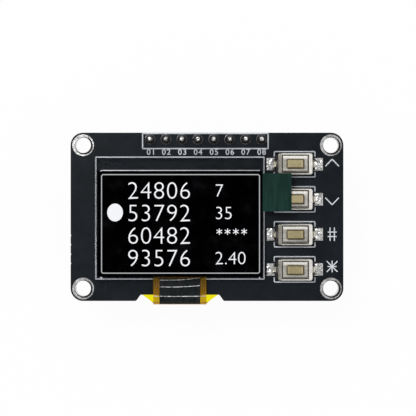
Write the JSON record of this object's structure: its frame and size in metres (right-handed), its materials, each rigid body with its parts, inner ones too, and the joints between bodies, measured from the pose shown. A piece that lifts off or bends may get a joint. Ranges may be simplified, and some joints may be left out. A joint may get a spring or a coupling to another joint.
{
  "type": "oled display module",
  "caption": "Small rectangular display board with a lit glass panel, push keys down one side, a pin header on the back and plated corner mounting holes.",
  "frame": {"origin": "centre of the four mounting holes, on the board's back face", "axes": "+Z out of the display's face, +Y towards the pin header's edge, +X towards the keys"},
  "size_m": [0.0436, 0.0277, 0.0128],
  "materials": {
    "solder_mask": "satin black solder mask over fibreglass",
    "tin": "bright tinned copper",
    "solder": "solder",
    "black_nylon": "moulded",
    "pin_metal": "tinned",
    "foam_tape": "foam",
    "glass": "clear",
    "polarizer": "glossy black",
    "silicon": "polished",
    "polyimide": "amber film",
    "black_film": "semi-gloss",
    "clear_film": "clear",
    "green_film": "dark green",
    "button": "moulded",
    "stamped_steel": "stamped",
    "spring_steel": "polished",
    "capacitor_ceramic": "matte",
    "resistor_ceramic": "glazed top"
  },
  "bodies": {
    "board_assembly": {"circuit_board": "solder_mask", "mounting_eyelets": "tin", "header_strip": "black_nylon", "header_solder": "solder", "panel_tape": "foam_tape", "rear_glass": "glass", "front_glass": "glass", "polarizer": "polarizer", "driver_chip": "silicon", "flex_cable": "polyimide", "flex_cover": "black_film", "flex_solder": "solder", "protective_film": "clear_film", "pull_tab": "green_film", "regulator_body": "black_nylon", "regulator_leads": "tin", "capacitor_bodies": "capacitor_ceramic", "capacitor_ends": "tin", "resistor_bodies": "resistor_ceramic", "resistor_ends": "tin", "diode_body": "black_nylon", "diode_leads": "tin", "header_pin_1": "pin_metal", "header_pin_2": "pin_metal", "header_pin_3": "pin_metal", "header_pin_4": "pin_metal", "header_pin_5": "pin_metal", "header_pin_6": "pin_metal", "header_pin_7": "pin_metal", "header_pin_8": "pin_metal", "key_up_base": "black_nylon", "key_up_dome": "spring_steel", "key_up_cover": "stamped_steel", "key_up_terminals": "tin", "key_up_solder": "solder", "key_down_base": "black_nylon", "key_down_dome": "spring_steel", "key_down_cover": "stamped_steel", "key_down_terminals": "tin", "key_down_solder": "solder", "key_hash_base": "black_nylon", "key_hash_dome": "spring_steel", "key_hash_cover": "stamped_steel", "key_hash_terminals": "tin", "key_hash_solder": "solder", "key_star_base": "black_nylon", "key_star_dome": "spring_steel", "key_star_cover": "stamped_steel", "key_star_terminals": "tin", "key_star_solder": "solder"},
    "up_button": {"key_up_plunger": "button"},
    "down_button": {"key_down_plunger": "button"},
    "hash_button": {"key_hash_plunger": "button"},
    "star_button": {"key_star_plunger": "button"}
  },
  "joints": [
    {"name": "up_press", "type": "slide", "parent": "board_assembly", "child": "up_button", "axis": [0, 0, -1], "range_m": [0, 0.00025], "stiffness_N_per_m": 6400, "deforming": ["key_up_dome"]},
    {"name": "down_press", "type": "slide", "parent": "board_assembly", "child": "down_button", "axis": [0, 0, -1], "range_m": [0, 0.00025], "stiffness_N_per_m": 6400, "deforming": ["key_down_dome"]},
    {"name": "hash_press", "type": "slide", "parent": "board_assembly", "child": "hash_button", "axis": [0, 0, -1], "range_m": [0, 0.00025], "stiffness_N_per_m": 6400, "deforming": ["key_hash_dome"]},
    {"name": "star_press", "type": "slide", "parent": "board_assembly", "child": "star_button", "axis": [0, 0, -1], "range_m": [0, 0.00025], "stiffness_N_per_m": 6400, "deforming": ["key_star_dome"]}
  ]
}
